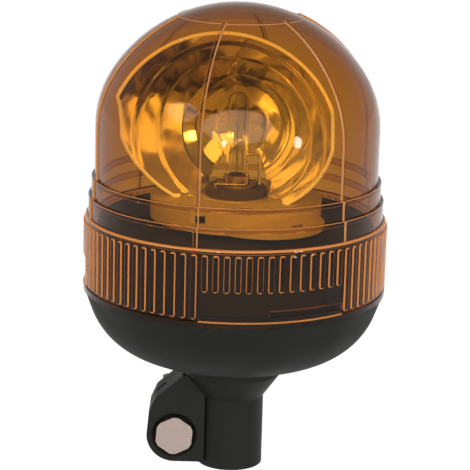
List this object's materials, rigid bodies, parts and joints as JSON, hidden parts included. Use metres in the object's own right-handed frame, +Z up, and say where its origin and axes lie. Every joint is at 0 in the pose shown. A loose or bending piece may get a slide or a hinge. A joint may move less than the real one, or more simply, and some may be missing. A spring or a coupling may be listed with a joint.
{
  "type": "rotating beacon",
  "caption": "Pole-mounted warning beacon: amber lens with bayonet fit, lamp with a geared rotating reflector, black bowl base and a clamp with bolt and wing nut.",
  "frame": {"origin": "centre of the pole socket's mouth", "axes": "+Z up the pole through the lens's crown, -Y the front, -X towards the clamp's ears"},
  "size_m": [0.142, 0.142, 0.2254],
  "materials": {
    "amber_plastic": "transparent amber polycarbonate",
    "black_plastic": "fine matt moulding",
    "black_rubber": "matt rubber with a soft sheen",
    "brass": "plain brass",
    "clear_glass": "clear quartz glass",
    "mirror_metal": "bright metallised reflector",
    "spring_steel": "bright spring wire",
    "tungsten": "coiled tungsten wire",
    "white_plastic": "natural nylon",
    "zinc_steel": "zinc-plated steel"
  },
  "bodies": {
    "base": {"pole_clamp": "black_plastic", "clamp_bolt": "zinc_steel", "clamp_ring": "zinc_steel", "clamp_screws": "zinc_steel", "contact_insulator": "white_plastic", "contact_pin": "brass", "base_bowl": "black_rubber", "chassis": "black_plastic", "gear_plate": "zinc_steel", "plate_screws": "zinc_steel", "motor_can": "zinc_steel", "motor_screws": "zinc_steel", "motor_end_cap": "black_plastic", "motor_terminals": "brass", "idler_pin": "zinc_steel", "thrust_washer": "zinc_steel", "lamp_column": "black_plastic", "column_screws": "zinc_steel", "lamp_head": "white_plastic", "bulb_flange": "zinc_steel", "bulb_glass": "clear_glass", "bulb_filament": "tungsten", "bulb_terminal": "brass", "bulb_clip": "spring_steel", "lens_seal": "black_rubber"},
    "lens": {"lens": "amber_plastic"},
    "rotor": {"reflector_carrier": "white_plastic", "ring_gear": "white_plastic", "balance_weight": "zinc_steel", "reflector": "mirror_metal", "reflector_screws": "zinc_steel"},
    "idler": {"idler_gear": "white_plastic"},
    "motor_rotor": {"motor_shaft": "spring_steel", "motor_pinion": "brass"},
    "washer": {"clamp_washer": "zinc_steel"},
    "nut": {"wing_nut": "zinc_steel"}
  },
  "joints": [
    {"name": "carrier_spin", "type": "hinge", "parent": "base", "child": "rotor", "pos_m": [0, 0, 0.126], "axis": [0, 0, 1], "continuous": true},
    {"name": "idler_spin", "type": "hinge", "parent": "base", "child": "idler", "pos_m": [0.0312, 0, 0.118], "axis": [0, 0, 1], "continuous": true},
    {"name": "motor_spin", "type": "hinge", "parent": "base", "child": "motor_rotor", "pos_m": [0.0312, 0.016, 0.113], "axis": [0, 0, 1], "continuous": true},
    {"name": "lens_twist", "type": "hinge", "parent": "base", "child": "lens", "pos_m": [0, 0, 0.1], "axis": [0, 0, 1], "range_deg": [0, 34]},
    {"name": "washer_travel", "type": "slide", "parent": "base", "child": "washer", "axis": [0, 1, 0], "range_m": [0, 0.003]},
    {"name": "nut_turn", "type": "hinge", "parent": "washer", "child": "nut", "pos_m": [-0.0265, 0.018, 0.0155], "axis": [0, 1, 0], "range_deg": [0, 720]}
  ],
  "couplings": [
    {"joint": "idler_spin", "follows": "carrier_spin", "ratio": 7.5},
    {"joint": "motor_spin", "follows": "carrier_spin", "ratio": -22.5},
    {"joint": "nut_turn", "follows": "washer_travel", "rad_per_m": 4188.8}
  ]
}
